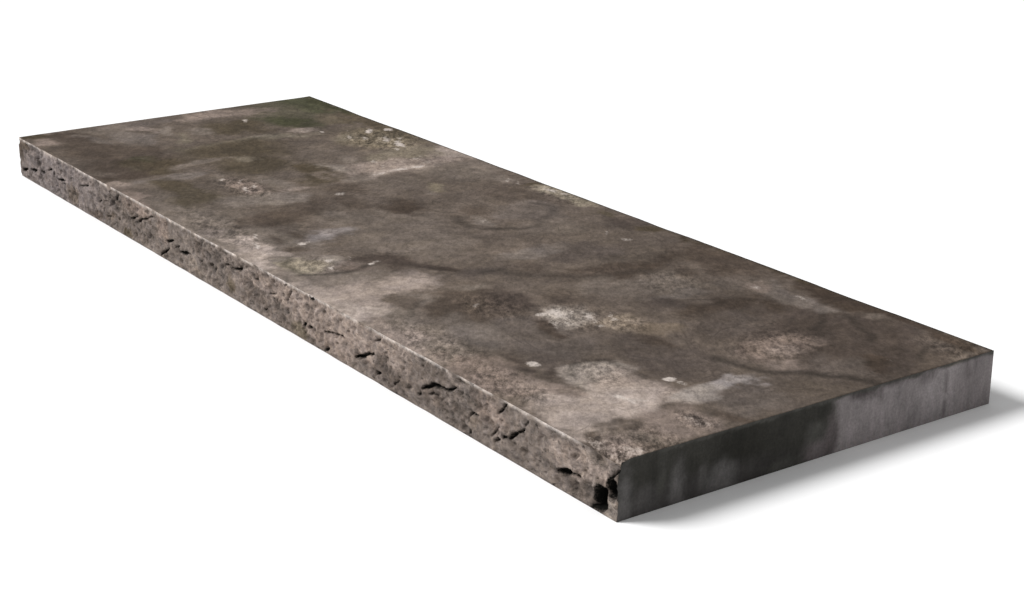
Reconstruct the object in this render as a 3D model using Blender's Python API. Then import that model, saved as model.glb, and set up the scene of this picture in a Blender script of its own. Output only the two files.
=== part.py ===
"""Limestone coping stone: one long flat slab for the head of a wall.

X runs along the slab, Y across it and Z up. The underside lies on Z = 0, the rock-pitched
front faces -Y, and the two ends and the back are sawn square. Lengths are in metres.
"""

import bmesh
import bpy
from mathutils import Vector, noise

LENGTH = 1.219
WIDTH = 0.420
THICKNESS = 0.050

# Spacing of the cuts that the surfaces are shaped on.
FACE_CELL = 0.0032
TOP_CELL = 0.015
FIRST_TOP_ROW = 0.009
KEPT_SHARE = 0.46

# The pitched face: chipped scoops with ridges between them, over low broad lumps.
SCOOP_LENGTH = 0.020
SCOOP_HEIGHT = 0.013
SCOOP_DEPTH = 0.0036
SCOOP_DRIFT_SIZE = 0.02
SCOOP_DRIFT = 0.25  # in cells
LUMP_SIZE = 0.060
LUMP_DEPTH = 0.0030
FACE_FOREMOST = 0.0026
ARRIS_INSET = 0.0008
ARRIS_WAVE = 0.0006
ARRIS_WAVE_SIZE = 0.03
ARRIS_FADE = 0.007
FOOT_HASTE = 1.5  # how much sooner the face reaches its full inset above the underside

# The riven top: level ground with broad shallow hollows.
HOLLOW_SIZE = 0.17
HOLLOW_DEPTH = 0.0012
RIPPLE_SIZE = 0.045
RIPPLE_DEPTH = 0.0005

# The broken corner at the front of the +X end: how far the break runs along the arris and
# across the end, and how much it takes off the top and the face at the corner itself.
BREAK_LENGTH = 0.038
BREAK_WIDTH = 0.013
BREAK_DROP = 0.0040
BREAK_INSET = 0.0025
BREAK_RAGGED_SIZE = 0.012
BREAK_RAGGED = 0.3
SINK_POWER = 3  # how fast the sinking of the face dies away below the arris

# Crevices in the pitched face, each: middle x, middle z, length, height, depth, rise per length.
CREVICES = (
    (-0.560, 0.015, 0.026, 0.005, 0.0045, 0.10),
    (-0.515, 0.027, 0.018, 0.004, 0.0035, 0.20),
    (-0.466, 0.030, 0.016, 0.007, 0.0040, 0.40),
    (-0.362, 0.024, 0.030, 0.005, 0.0045, 0.20),
    (-0.316, 0.038, 0.014, 0.004, 0.0030, 0.10),
    (-0.268, 0.025, 0.020, 0.005, 0.0045, 0.10),
    (-0.240, 0.030, 0.016, 0.004, 0.0035, 0.20),
    (-0.188, 0.007, 0.018, 0.004, 0.0035, 0.00),
    (-0.170, 0.024, 0.022, 0.005, 0.0045, 0.15),
    (-0.130, 0.021, 0.024, 0.005, 0.0045, 0.15),
    (-0.045, 0.029, 0.016, 0.004, 0.0030, 0.10),
    (0.062, 0.029, 0.024, 0.005, 0.0045, 0.15),
    (0.138, 0.016, 0.020, 0.005, 0.0040, 0.00),
    (0.184, 0.023, 0.042, 0.005, 0.0055, 0.12),
    (0.236, 0.018, 0.032, 0.006, 0.0065, 0.28),
    (0.296, 0.013, 0.022, 0.005, 0.0040, 0.20),
    (0.362, 0.026, 0.044, 0.006, 0.0075, 0.22),
    (0.415, 0.021, 0.016, 0.006, 0.0045, 0.10),
    (0.453, 0.016, 0.014, 0.008, 0.0050, 0.45),
    (0.479, 0.023, 0.024, 0.006, 0.0060, 0.30),
    (0.549, 0.016, 0.030, 0.006, 0.0070, 0.10),
)
# In half heights from the middle of a crevice: the top of its lip, the foot of its ramp, and the
# height that each takes.
LIP_TOP, LIP_HEIGHT = 1.4, 0.8
RAMP_FOOT, RAMP_HEIGHT = -2.2, 2.4

# Deep holes beside the broken corner, each: middle x, middle z, half width, half height, depth.
HOLES = (
    (0.588, 0.013, 0.0080, 0.0085, 0.0095),
    (0.602, 0.026, 0.0085, 0.0070, 0.0085),
)
# The rim of a hole and the band that its wall takes, in squared half widths.
HOLE_RIM, HOLE_WALL = 1.25, 0.9

# The slice of the noise that each kind of unevenness is read from.
LUMPS, ARRIS, DRIFT, HOLLOWS, RIPPLES, RAGGED = 1.0, 2.0, 4.0, 6.0, 7.0, 9.0

STONE_COLOUR = (0.155, 0.126, 0.107, 1.0)
STONE_ROUGHNESS = 0.88
STONE_METALLIC = 0.0

FRONT = -WIDTH / 2
BACK = WIDTH / 2
END = LENGTH / 2
ON_PLANE = 1e-6
NEAR_PLANE = 1e-4


def smooth(value):
    """Ease from 0 to 1, flat at both ends."""
    value = min(max(value, 0.0), 1.0)
    return value * value * (3.0 - 2.0 * value)


def crevice_depth(x, z):
    """A crevice has a sharp upper lip and a ramp that runs out below it."""
    deepest = 0.0
    for middle_x, middle_z, length, height, depth, rise in CREVICES:
        along = (x - middle_x) / (length / 2)
        if abs(along) >= 1.0:
            continue
        above = (z - middle_z - rise * (x - middle_x)) / (height / 2)
        lip = smooth((LIP_TOP - above) / LIP_HEIGHT)
        ramp = smooth((above - RAMP_FOOT) / RAMP_HEIGHT)
        deepest = max(deepest, depth * lip * ramp * (1.0 - along * along) ** 0.5)
    return deepest


def hole_depth(x, z):
    """A hole is a steep-sided pocket with a rounded floor."""
    deepest = 0.0
    for middle_x, middle_z, half_width, half_height, depth in HOLES:
        across = (x - middle_x) / half_width
        up = (z - middle_z) / half_height
        inside = HOLE_RIM - across * across - up * up
        deepest = max(deepest, depth * smooth(inside / HOLE_WALL))
    return deepest


def scoop_depth(x, z):
    """Chipped scoops: zero along the ridges between Voronoi cells, deepest inside them."""
    place = Vector((x / SCOOP_DRIFT_SIZE, z / SCOOP_DRIFT_SIZE, DRIFT))
    drift = noise.noise(place) * SCOOP_DRIFT
    place = Vector((x / SCOOP_LENGTH + drift, z / SCOOP_HEIGHT - drift, 0.0))
    nearest, second = noise.voronoi(place)[0][:2]
    return SCOOP_DEPTH * min(second - nearest, 1.0)


def near_break(x, back, down):
    """1 at the broken corner, falling to 0 at the edge of the break."""
    reach = Vector(((END - x) / BREAK_LENGTH, back / BREAK_WIDTH, down / BREAK_WIDTH)).length
    place = Vector((x / BREAK_RAGGED_SIZE, back / BREAK_RAGGED_SIZE, RAGGED))
    return smooth(1.0 - reach * (1.0 + BREAK_RAGGED * noise.noise(place)))


def face_inset(x, z):
    """How far the pitched face lies behind its foremost plane."""
    lump = noise.noise(Vector((x / LUMP_SIZE, z / LUMP_SIZE, LUMPS)))
    relief = FACE_FOREMOST - LUMP_DEPTH * lump + scoop_depth(x, z) - SCOOP_DEPTH / 2
    relief = max(relief, 0.0) + max(crevice_depth(x, z), hole_depth(x, z))
    arris = ARRIS_INSET + ARRIS_WAVE * noise.noise(Vector((x / ARRIS_WAVE_SIZE, 0.0, ARRIS)))
    to_edge = min(THICKNESS - z, z * FOOT_HASTE)
    inset = arris + (relief - arris) * smooth(to_edge / ARRIS_FADE)
    return inset + BREAK_INSET * near_break(x, 0.0, THICKNESS - z)


def top_drop(x, y):
    """How far the riven top lies below its highest plane."""
    hollow = noise.noise(Vector((x / HOLLOW_SIZE, y / HOLLOW_SIZE, HOLLOWS)))
    ripple = noise.noise(Vector((x / RIPPLE_SIZE, y / RIPPLE_SIZE, RIPPLES)))
    drop = max(HOLLOW_DEPTH * hollow + RIPPLE_DEPTH * ripple, 0.0)
    return drop + BREAK_DROP * near_break(x, y - FRONT, 0.0)


def cut(mesh, faces, point, normal):
    """Cut only these faces along a plane, and return them with their new halves."""
    edges = {edge for face in faces for edge in face.edges}
    verts = {vert for face in faces for vert in face.verts}
    result = bmesh.ops.bisect_plane(
        mesh,
        geom=list(verts) + list(edges) + list(faces),
        dist=ON_PLANE,
        plane_co=point,
        plane_no=normal,
    )
    return [item for item in result["geom"] if isinstance(item, bmesh.types.BMFace)]


def steps(first, last, spacing):
    """Evenly spaced stations strictly between two ends."""
    count = max(round((last - first) / spacing), 1)
    return [first + (last - first) * index / count for index in range(1, count)]


def faces_on(mesh, axis, place):
    """The faces that lie in the plane where this axis has this value."""
    return [
        face
        for face in mesh.faces
        if all(abs(vert.co[axis] - place) < ON_PLANE for vert in face.verts)
    ]


def sawn_block(mesh):
    """The block as sawn, before its front is pitched: its underside rests on Z = 0."""
    bmesh.ops.create_cube(mesh, size=1.0)
    bmesh.ops.scale(mesh, vec=(LENGTH, WIDTH, THICKNESS), verts=mesh.verts)
    bmesh.ops.translate(mesh, vec=(0.0, 0.0, THICKNESS / 2), verts=mesh.verts)


def lay_out_cuts(mesh):
    """Cut the front finely and the top coarsely. The sawn faces stay whole."""
    top = faces_on(mesh, 2, THICKNESS)
    first_row = FRONT + FIRST_TOP_ROW
    for y in [first_row] + steps(first_row, BACK, TOP_CELL):
        top = cut(mesh, top, (0.0, y, 0.0), (0.0, 1.0, 0.0))
    for x in steps(-END, END, TOP_CELL):
        top = cut(mesh, top, (x, 0.0, 0.0), (1.0, 0.0, 0.0))
    front = faces_on(mesh, 1, FRONT)
    for z in steps(0.0, THICKNESS, FACE_CELL):
        front = cut(mesh, front, (0.0, 0.0, z), (0.0, 0.0, 1.0))
    for x in steps(-END, END, FACE_CELL):
        front = cut(mesh, front, (x, 0.0, 0.0), (1.0, 0.0, 0.0))


def shape_surfaces(mesh):
    """Move the front in to the pitched face, and the top down into its hollows.

    The front sinks with the arris above it, less and less towards the underside.
    """
    for vert in mesh.verts:
        x, y, z = vert.co
        if abs(y - FRONT) < ON_PLANE:
            vert.co.y = FRONT + face_inset(x, z)
            vert.co.z = z - top_drop(x, FRONT) * (z / THICKNESS) ** SINK_POWER
        elif abs(z - THICKNESS) < ON_PLANE:
            vert.co.z = THICKNESS - top_drop(x, y)


def stone_material():
    material = bpy.data.materials.new("limestone")
    material.use_nodes = True
    shader = material.node_tree.nodes["Principled BSDF"]
    shader.inputs["Base Color"].default_value = STONE_COLOUR
    shader.inputs["Roughness"].default_value = STONE_ROUGHNESS
    shader.inputs["Metallic"].default_value = STONE_METALLIC
    return material


def with_fewer_facets(stone):
    """The same surface with its flatter ground in larger facets."""
    thin = stone.modifiers.new("fewer_facets", "DECIMATE")
    thin.decimate_type = "COLLAPSE"
    thin.ratio = KEPT_SHARE
    graph = bpy.context.evaluated_depsgraph_get()
    fewer = bpy.data.meshes.new_from_object(stone.evaluated_get(graph))
    fewer.name = stone.name
    stone.modifiers.clear()
    return fewer


def true_up(mesh):
    """Set the sawn faces exactly flat, and keep the pitched face within the width."""
    for vert in mesh.vertices:
        if abs(vert.co.z) < NEAR_PLANE:
            vert.co.z = 0.0
        if abs(abs(vert.co.x) - END) < NEAR_PLANE:
            vert.co.x = END if vert.co.x > 0.0 else -END
        if abs(vert.co.y - BACK) < NEAR_PLANE:
            vert.co.y = BACK
        vert.co.y = max(vert.co.y, FRONT)
        vert.co.z = min(vert.co.z, THICKNESS)


def coping_stone(collection):
    work = bmesh.new()
    sawn_block(work)
    lay_out_cuts(work)
    shape_surfaces(work)
    bmesh.ops.triangulate(work, faces=work.faces)
    mesh = bpy.data.meshes.new("coping_stone")
    work.to_mesh(mesh)
    work.free()
    mesh.materials.append(stone_material())
    stone = bpy.data.objects.new("coping_stone", mesh)
    collection.objects.link(stone)
    stone.data = with_fewer_facets(stone)
    true_up(stone.data)


def main():
    for old in list(bpy.data.objects):
        bpy.data.objects.remove(old, do_unlink=True)
    collection = bpy.data.collections.new("limestone_coping_stone")
    bpy.context.scene.collection.children.link(collection)
    coping_stone(collection)


main()
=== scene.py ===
"""The limestone coping stone as it looks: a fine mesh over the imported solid, three stone
finishes, a pale studio floor, soft light and the camera. Lengths are in metres unless a
comment or name says mm. X runs along the slab, Y across it and Z up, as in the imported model."""

import math

import bmesh
import bpy
import numpy as np
from mathutils import Matrix, Vector, noise


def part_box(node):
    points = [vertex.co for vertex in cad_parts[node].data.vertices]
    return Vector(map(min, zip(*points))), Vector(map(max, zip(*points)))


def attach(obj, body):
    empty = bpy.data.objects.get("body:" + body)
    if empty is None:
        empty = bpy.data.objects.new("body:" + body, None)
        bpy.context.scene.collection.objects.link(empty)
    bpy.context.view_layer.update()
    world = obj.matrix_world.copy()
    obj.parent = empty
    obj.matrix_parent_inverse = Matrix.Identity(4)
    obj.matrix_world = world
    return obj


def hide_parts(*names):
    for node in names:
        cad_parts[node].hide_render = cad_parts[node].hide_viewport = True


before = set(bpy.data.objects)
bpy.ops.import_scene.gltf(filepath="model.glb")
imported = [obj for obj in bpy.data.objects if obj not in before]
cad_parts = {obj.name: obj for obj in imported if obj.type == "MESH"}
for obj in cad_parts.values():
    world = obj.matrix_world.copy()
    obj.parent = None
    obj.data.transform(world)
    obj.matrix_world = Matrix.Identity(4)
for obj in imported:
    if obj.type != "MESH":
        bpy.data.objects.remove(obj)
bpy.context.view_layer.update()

NODE = "coping_stone"
LOW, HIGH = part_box(NODE)
LENGTH, WIDTH, THICKNESS = HIGH - LOW
FRONT, BACK, END = LOW.y, HIGH.y, HIGH.x
MM = 1000.0  # in a metre
NEAR = 1e-5  # a point this close to a side of the block lies on it

# ---- shape: as the solid has it
# The pitched face: chipped scoops with ridges between them, over low broad lumps.
SCOOP_LENGTH = 0.020
SCOOP_HEIGHT = 0.013
SCOOP_DEPTH = 0.0036
SCOOP_DRIFT_SIZE = 0.02
SCOOP_DRIFT = 0.25  # in cells
LUMP_SIZE = 0.060
LUMP_DEPTH = 0.0030
FACE_FOREMOST = 0.0026
ARRIS_INSET = 0.0008
ARRIS_WAVE = 0.0006
ARRIS_WAVE_SIZE = 0.03
ARRIS_FADE = 0.007
FOOT_HASTE = 1.5  # how much sooner the face reaches its full inset above the underside

# The riven top: level ground with broad shallow hollows.
HOLLOW_SIZE = 0.17
HOLLOW_DEPTH = 0.0012
RIPPLE_SIZE = 0.045
RIPPLE_DEPTH = 0.0005

# The broken corner at the front of the +X end: how far the break runs along the arris and
# across the end, and how much it takes off the top and the face at the corner itself.
BREAK_LENGTH = 0.038
BREAK_WIDTH = 0.013
BREAK_DROP = 0.0040
BREAK_INSET = 0.0025
BREAK_RAGGED_SIZE = 0.012
BREAK_RAGGED = 0.3
SINK_POWER = 3  # how fast the sinking of the face dies away below the arris

# Each noise has a layer of its own. One of several sizes steps up from its layer.
LUMPS, ARRIS, DRIFT, HOLLOWS, RIPPLES, RAGGED = 1.0, 2.0, 4.0, 6.0, 7.0, 9.0
GRAINS, CHIPS, LAYER_STEP = 11.0, 20.0, 3.0

# ---- shape: deeper or finer than the solid has it
# Holes beside the broken corner, each: middle x, middle z, half width, half height, depth.
HOLES = (
    (0.5885, 0.0125, 0.0078, 0.0100, 0.0140),
    (0.6028, 0.0262, 0.0062, 0.0092, 0.0110),
)
# The rim of a hole and the band that its wall takes, in squared half widths.
HOLE_RIM, HOLE_WALL = 1.25, 0.9

# Cracks in the pitched face in mm: the points that each runs through, as x, z and half width.
CRACKS = (
    ((-603, 9, 1.2), (-593, 11, 2.0), (-585, 14, 1.0)),
    ((-576, 15, 1.0), (-566, 16, 1.9), (-558, 18, 1.1)),
    ((-546, 18, 1.0), (-538, 20, 1.5), (-529, 22, 0.8)),
    ((-516, 28, 0.8), (-508, 30, 1.4), (-501, 31, 0.8)),
    ((-498, 27, 1.5), (-493, 29, 1.6)),
    ((-483, 23, 0.8), (-474, 25, 1.5), (-465, 26, 0.8)),
    ((-553, 33, 0.8), (-547, 36, 1.2)),
    ((-448, 33, 0.8), (-441, 34, 0.9)),
    ((-416, 31, 0.7), (-403, 33, 1.1), (-391, 36, 0.7)),
    ((-366, 22, 0.7), (-358, 26, 1.3), (-352, 27, 0.7)),
    ((-346, 28, 0.7), (-338, 30, 0.9)),
    ((-318, 36, 1.0), (-310, 40, 2.0), (-307, 42, 1.1)),
    ((-342, 10, 0.7), (-330, 14, 1.0)),
    ((-278, 24, 0.7), (-270, 26, 1.3), (-258, 30, 0.7)),
    ((-253, 26, 0.7), (-246, 29, 1.9), (-241, 32, 1.2), (-232, 34, 0.8), (-212, 42, 0.6)),
    ((-180, 22, 0.7), (-172, 24, 1.6), (-165, 26, 1.4), (-159, 28, 0.7)),
    ((-158, 21, 0.7), (-152, 23, 1.1), (-145, 25, 0.7)),
    ((-196, 2, 1.3), (-187, 8, 1.8), (-180, 11, 1.3), (-172, 16, 0.7)),
    ((-147, 18, 0.7), (-139, 20, 1.7), (-130, 21, 1.6), (-122, 23, 0.7)),
    ((-97, 22, 1.0), (-92, 23, 1.0)),
    ((-76, 22, 1.0), (-70, 24, 1.3)),
    ((-67, 20, 1.1), (-60, 22, 1.1)),
    ((-41, 32, 0.7), (-32, 35, 1.1)),
    ((-22, 33, 0.7), (-8, 35, 1.5), (-4, 38, 2.5)),
    ((25, 33, 0.8), (31, 37, 1.0)),
    ((45, 7, 1.3), (49, 10, 1.1)),
    ((54, 27, 0.7), (64, 29, 1.1), (71, 32, 0.7)),
    ((91, 31, 0.8), (97, 38, 1.1), (103, 44, 0.7)),
    ((89, 45, 1.1), (94, 47, 1.1)),
    ((124, 16, 1.6), (129, 17, 1.6)),
    ((135, 16, 1.5), (141, 18, 1.1)),
    ((139, 46, 1.1), (146, 48, 1.6)),
    ((165, 2, 2.0), (170, 4, 1.3)),
    ((164, 20, 0.7), (178, 23, 1.1), (192, 25, 1.1), (206, 27, 0.7)),
    ((222, 13, 0.8), (228, 15, 1.9), (237, 19, 1.6), (246, 23, 1.5), (255, 26, 0.7)),
    ((257, 7, 1.1), (262, 10, 2.1), (267, 12, 0.8)),
    ((256, 38, 0.7), (262, 42, 1.1), (267, 45, 0.7)),
    ((289, 8, 0.7), (297, 13, 1.0)),
    ((336, 19, 1.0), (342, 23, 1.7), (350, 27, 1.9), (358, 29, 1.9), (366, 31, 1.2), (374, 30, 0.8)),
    ((374, 30, 0.8), (380, 32, 1.4), (387, 37, 0.8)),
    ((330, 12, 1.1), (335, 14, 1.3)),
    ((348, 18, 0.8), (361, 22, 1.1)),
    ((406, 12, 0.6), (409, 19, 1.3), (414, 23, 1.3), (423, 24, 0.8)),
    ((407, 2, 1.1), (411, 4, 1.6)),
    ((452, 36, 0.8), (458, 41, 1.5), (464, 46, 1.0)),
    ((443, 13, 0.8), (447, 17, 1.4), (453, 24, 0.8)),
    ((448, 9, 1.0), (453, 13, 1.2)),
    ((459, 17, 1.5), (463, 18, 1.1)),
    ((467, 18, 1.3), (474, 23, 1.8), (481, 28, 1.3), (491, 34, 0.7)),
    ((490, 38, 1.0), (495, 43, 1.1)),
    ((532, 13, 0.9), (539, 16, 2.5), (546, 18, 2.4), (553, 19, 1.1), (564, 19, 0.7)),
    ((578, 1, 1.4), (588, 3, 2.6), (596, 8, 2.0)),
    ((605, 37, 1.2), (608, 43, 1.4)),
    ((528, 1, 1.1), (532, 2, 1.1)),
)
CRACK_DEPTH = 2.6  # in half widths of the crack
# How near a place is to a crack where the ground starts to sink, and how much nearer it is
# where the crack has its full depth: 0 is two half widths away and 1 is on the crack.
CRACK_LIP, CRACK_WALL = 0.34, 0.4
# How far cracks wander, each layer: size of the waves, reach, in mm.
CRACK_WANDER = ((10, 1.3), (4, 0.9))
CRACK_SEED = 70.0

# Chips, each: length, height, depth. This share of the depth stands before the face.
FACE_CHIPS = ((0.0110, 0.0075, 0.0030), (0.0055, 0.0040, 0.0017))
CHIP_PROUD = 0.3
# Grain, each: size, depth. On the face it rises by this much for each length along it.
FACE_GRAIN = ((0.0100, 0.0012), (0.0048, 0.0008))
GRAIN_RISE = 0.35
TOP_GRAIN = ((0.012, 0.00012), (0.005, 0.00008))

# Cells of the mesh along and across the top, and up the face, which has twice as many along.
TOP_COLUMNS = 480
TOP_ROWS = 100
FACE_ROWS = 38


def smooth(value):
    """Ease from 0 to 1, flat at both ends."""
    value = min(max(value, 0.0), 1.0)
    return value * value * (3.0 - 2.0 * value)


def smooth_all(values):
    """Ease each of many values from 0 to 1, flat at both ends."""
    values = np.clip(values, 0.0, 1.0)
    return values * values * (3.0 - 2.0 * values)


def rolling(x, y, size, layer):
    """Smooth noise about zero at a place, in waves of this size."""
    return noise.noise(Vector((x / size, y / size, layer)))


def from_middle(x, y, middle_x, middle_y, half_x, half_y, turn=0.0):
    """How far a place, or each of many, is from the middle of a turned ellipse: 1 on its edge."""
    cos, sin = math.cos(math.radians(turn)), math.sin(math.radians(turn))
    x, y = x - middle_x, y - middle_y
    return np.hypot((x * cos + y * sin) / half_x, (y * cos - x * sin) / half_y)


def cell_depth(place):
    """0 on the ridges between Voronoi cells, and up to 1 inside them."""
    nearest, second = noise.voronoi(place)[0][:2]
    return min(second - nearest, 1.0)


def hole_depth(x, z):
    """A hole is a steep-sided pocket with a rounded floor."""
    return max(
        depth * smooth((HOLE_RIM - from_middle(x, z, *ellipse) ** 2) / HOLE_WALL)
        for *ellipse, depth in HOLES
    )


def scoop_depth(x, z):
    """Chipped scoops with ridges between them."""
    drift = SCOOP_DRIFT * rolling(x, z, SCOOP_DRIFT_SIZE, DRIFT)
    place = Vector((x / SCOOP_LENGTH + drift, z / SCOOP_HEIGHT - drift, 0.0))
    return SCOOP_DEPTH * cell_depth(place)


def grain(layers, x, y):
    """Rough ground of several sizes, as a depth about zero."""
    return sum(
        depth * rolling(x, y, size, GRAINS + LAYER_STEP * layer)
        for layer, (size, depth) in enumerate(layers)
    )


def chip_depth(x, z):
    """Small chips with crisp ridges between them, as a depth about zero."""
    total = 0.0
    for layer, (length, height, depth) in enumerate(FACE_CHIPS):
        place = Vector((x / length, z / height, CHIPS + LAYER_STEP * layer))
        total += depth * (cell_depth(place) - CHIP_PROUD)
    return total


def near_break(x, back, down):
    """1 at the broken corner, falling to 0 at the edge of the break."""
    reach = Vector(((END - x) / BREAK_LENGTH, back / BREAK_WIDTH, down / BREAK_WIDTH)).length
    ragged = 1.0 + BREAK_RAGGED * rolling(x, back, BREAK_RAGGED_SIZE, RAGGED)
    return smooth(1.0 - reach * ragged)


def face_relief(x, z):
    """How far the lumps, scoops and grain of the pitched face lie behind its foremost plane."""
    lump = rolling(x, z, LUMP_SIZE, LUMPS)
    relief = FACE_FOREMOST - LUMP_DEPTH * lump + scoop_depth(x, z) - SCOOP_DEPTH / 2
    lean = z - GRAIN_RISE * x
    return max(relief + chip_depth(x, lean) + grain(FACE_GRAIN, x, lean), 0.0)


def face_inset(x, z, relief):
    """The whole inset of the pitched face, which is least along its top and bottom edges."""
    relief += hole_depth(x, z)
    arris = ARRIS_INSET + ARRIS_WAVE * rolling(x, 0.0, ARRIS_WAVE_SIZE, ARRIS)
    to_edge = min(THICKNESS - z, z * FOOT_HASTE)
    inset = arris + (relief - arris) * smooth(to_edge / ARRIS_FADE)
    return max(inset + BREAK_INSET * near_break(x, 0.0, THICKNESS - z), 0.0)


def top_drop(x, y):
    """How far the riven top lies below its highest plane."""
    hollow = HOLLOW_DEPTH * rolling(x, y, HOLLOW_SIZE, HOLLOWS)
    ripple = RIPPLE_DEPTH * rolling(x, y, RIPPLE_SIZE, RIPPLES)
    drop = max(hollow + ripple, 0.0) + max(grain(TOP_GRAIN, x, y), 0.0)
    return drop + BREAK_DROP * near_break(x, y - FRONT, 0.0)


# ---- the mesh
def lies_on(place, side):
    """Whether a place, or each of many, lies on a side of the block."""
    return abs(place - side) < NEAR


def add_side(mesh, columns, rows, middle, across, up):
    """One side of the block as a grid, from its middle and its two edge vectors."""
    out = Vector(across).cross(Vector(up)).normalized()
    place = Matrix.Translation(middle) @ Matrix((across, up, out)).transposed().to_4x4()
    bmesh.ops.create_grid(mesh, x_segments=columns, y_segments=rows, size=0.5, matrix=place)


def fill_flat(mesh, axis, side):
    """Close the open edge loop that lies on one side with a single face."""
    edges = [
        edge
        for edge in mesh.edges
        if edge.is_boundary and all(lies_on(v.co[axis], side) for v in edge.verts)
    ]
    bmesh.ops.contextual_create(mesh, geom=edges)


def sawn_block():
    """The block before it is shaped: fine grids on its front, top and ends."""
    mesh = bmesh.new()
    middle_z = THICKNESS / 2
    along, across, up = (LENGTH, 0, 0), (0, WIDTH, 0), (0, 0, THICKNESS)
    add_side(mesh, TOP_COLUMNS, TOP_ROWS, (0, 0, THICKNESS), along, across)
    halved = [e for e in mesh.edges if all(lies_on(v.co.y, FRONT) for v in e.verts)]
    for edge in halved:
        bmesh.utils.edge_split(edge, edge.verts[0], 0.5)
    add_side(mesh, 2 * TOP_COLUMNS, FACE_ROWS, (0, FRONT, middle_z), along, up)
    add_side(mesh, TOP_ROWS, FACE_ROWS, (END, 0, middle_z), across, up)
    add_side(mesh, TOP_ROWS, FACE_ROWS, (-END, 0, middle_z), (0, -WIDTH, 0), up)
    bmesh.ops.remove_doubles(mesh, verts=mesh.verts, dist=NEAR)
    # The edge between the back and the underside, which are still open.
    heels = [v for v in mesh.verts if lies_on(v.co.z, 0.0) and lies_on(v.co.y, BACK)]
    mesh.edges.new(heels)
    fill_flat(mesh, 1, BACK)
    fill_flat(mesh, 2, 0.0)
    bmesh.ops.recalc_face_normals(mesh, faces=mesh.faces)
    return mesh


def shape_stone(mesh, relief, cracks):
    """Move the front in to the pitched face, and the top down into its hollows."""
    for vert in mesh.verts:
        x, y, z = vert.co
        if lies_on(y, FRONT):
            vert.co.y = FRONT + face_inset(x, z, relief[vert.index] + cracks[vert.index])
            vert.co.z = z - top_drop(x, FRONT) * (z / THICKNESS) ** SINK_POWER
        elif lies_on(z, THICKNESS):
            vert.co.z = THICKNESS - top_drop(x, y)


# ---- paint: tones are 0 to 255
# What a tint adds to a tone's red, green and blue.
TINTS = {
    "warm": (8, -3, -11),
    "pink": (10, -4, -12),
    "mauve": (7, -3, -9),
    "tan": (9, -2, -17),
    "green": (2, 1, -18),
    "olive": (8, -2, -15),
    "moss": (5, -1, -14),
    "slate": (1, 0, -3),
    "grey": (4, -1, -1),
    "ash": (1, -1, -2),
    "lilac": (7, -2, -4),
    "sand": (11, -3, -16),
}

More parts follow.
